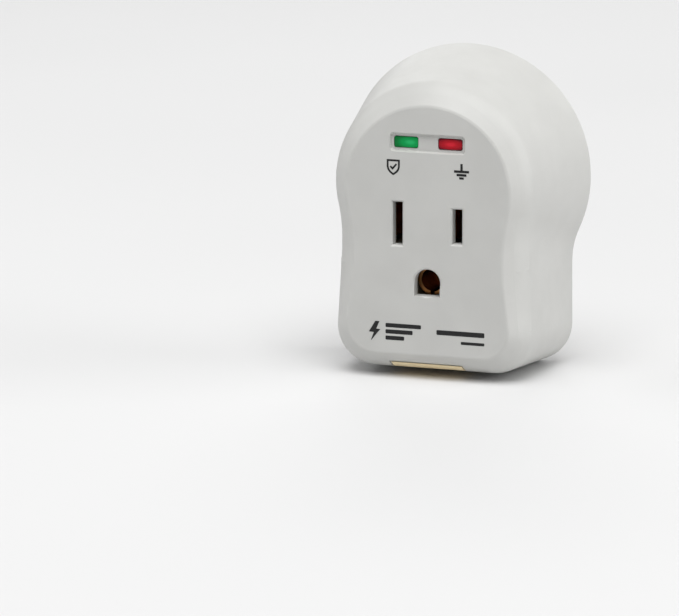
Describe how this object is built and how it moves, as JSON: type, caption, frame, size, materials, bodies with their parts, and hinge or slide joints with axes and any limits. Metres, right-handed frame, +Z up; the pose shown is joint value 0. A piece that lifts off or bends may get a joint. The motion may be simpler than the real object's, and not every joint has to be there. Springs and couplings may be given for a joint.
{
  "type": "plug-in surge protector",
  "caption": "Wall-plug surge protector: round-crowned grey housing with blades and ground pin behind, one grounded outlet and two indicator lamps in front.",
  "frame": {"origin": "on the flat back face, midway between the line and neutral blades", "axes": "+X right seen from the front, +Y out of the back along the blades, +Z up"},
  "size_m": [0.0524, 0.0476, 0.0652],
  "materials": {
    "housing_plastic": "fine-textured moulded ABS, warm light grey",
    "cover_plastic": "moulded ABS, warm light grey",
    "label_film": "matt silver-white film, blank",
    "foot_label_paper": "cream paper, blank",
    "screw_steel": "zinc-plated steel",
    "blade_brass": "nickel-plated brass",
    "contact_bronze": "phosphor bronze",
    "rivet_brass": "bare brass",
    "retainer_nylon": "natural nylon",
    "board_laminate": "paper-phenolic board",
    "fish_paper": "grey vulcanised fibre",
    "varistor_epoxy": "blue dipped epoxy",
    "fuse_case": "tinned case",
    "shrink_sleeve": "black heat-shrink",
    "resistor_body": "tan lacquer",
    "diode_body": "black epoxy",
    "green_lens": "diffused green epoxy",
    "red_lens": "diffused red epoxy",
    "spacer_nylon": "white nylon",
    "line_insulation": "black PVC",
    "neutral_insulation": "white PVC",
    "ground_insulation": "green PVC"
  },
  "bodies": {
    "root": {"front_housing": "housing_plastic", "rear_cover": "cover_plastic", "back_label": "label_film", "foot_label": "foot_label_paper", "cover_screws": "screw_steel", "neutral_blade": "blade_brass", "line_blade": "blade_brass", "ground_pin": "blade_brass", "neutral_contact": "contact_bronze", "line_contact": "contact_bronze", "ground_contact": "contact_bronze", "contact_rivets": "rivet_brass", "contact_retainer": "retainer_nylon", "contact_shroud": "retainer_nylon", "circuit_board": "board_laminate", "insulating_sheet": "fish_paper", "line_neutral_varistor": "varistor_epoxy", "line_ground_varistor": "varistor_epoxy", "neutral_ground_varistor": "varistor_epoxy", "thermal_fuse": "fuse_case", "fuse_sleeve": "shrink_sleeve", "lamp_resistors": "resistor_body", "lamp_diodes": "diode_body", "green_lamp": "green_lens", "red_lamp": "red_lens", "lamp_spacer": "spacer_nylon", "line_lead": "line_insulation", "neutral_lead": "neutral_insulation", "ground_lead": "ground_insulation"}
  },
  "joints": []
}
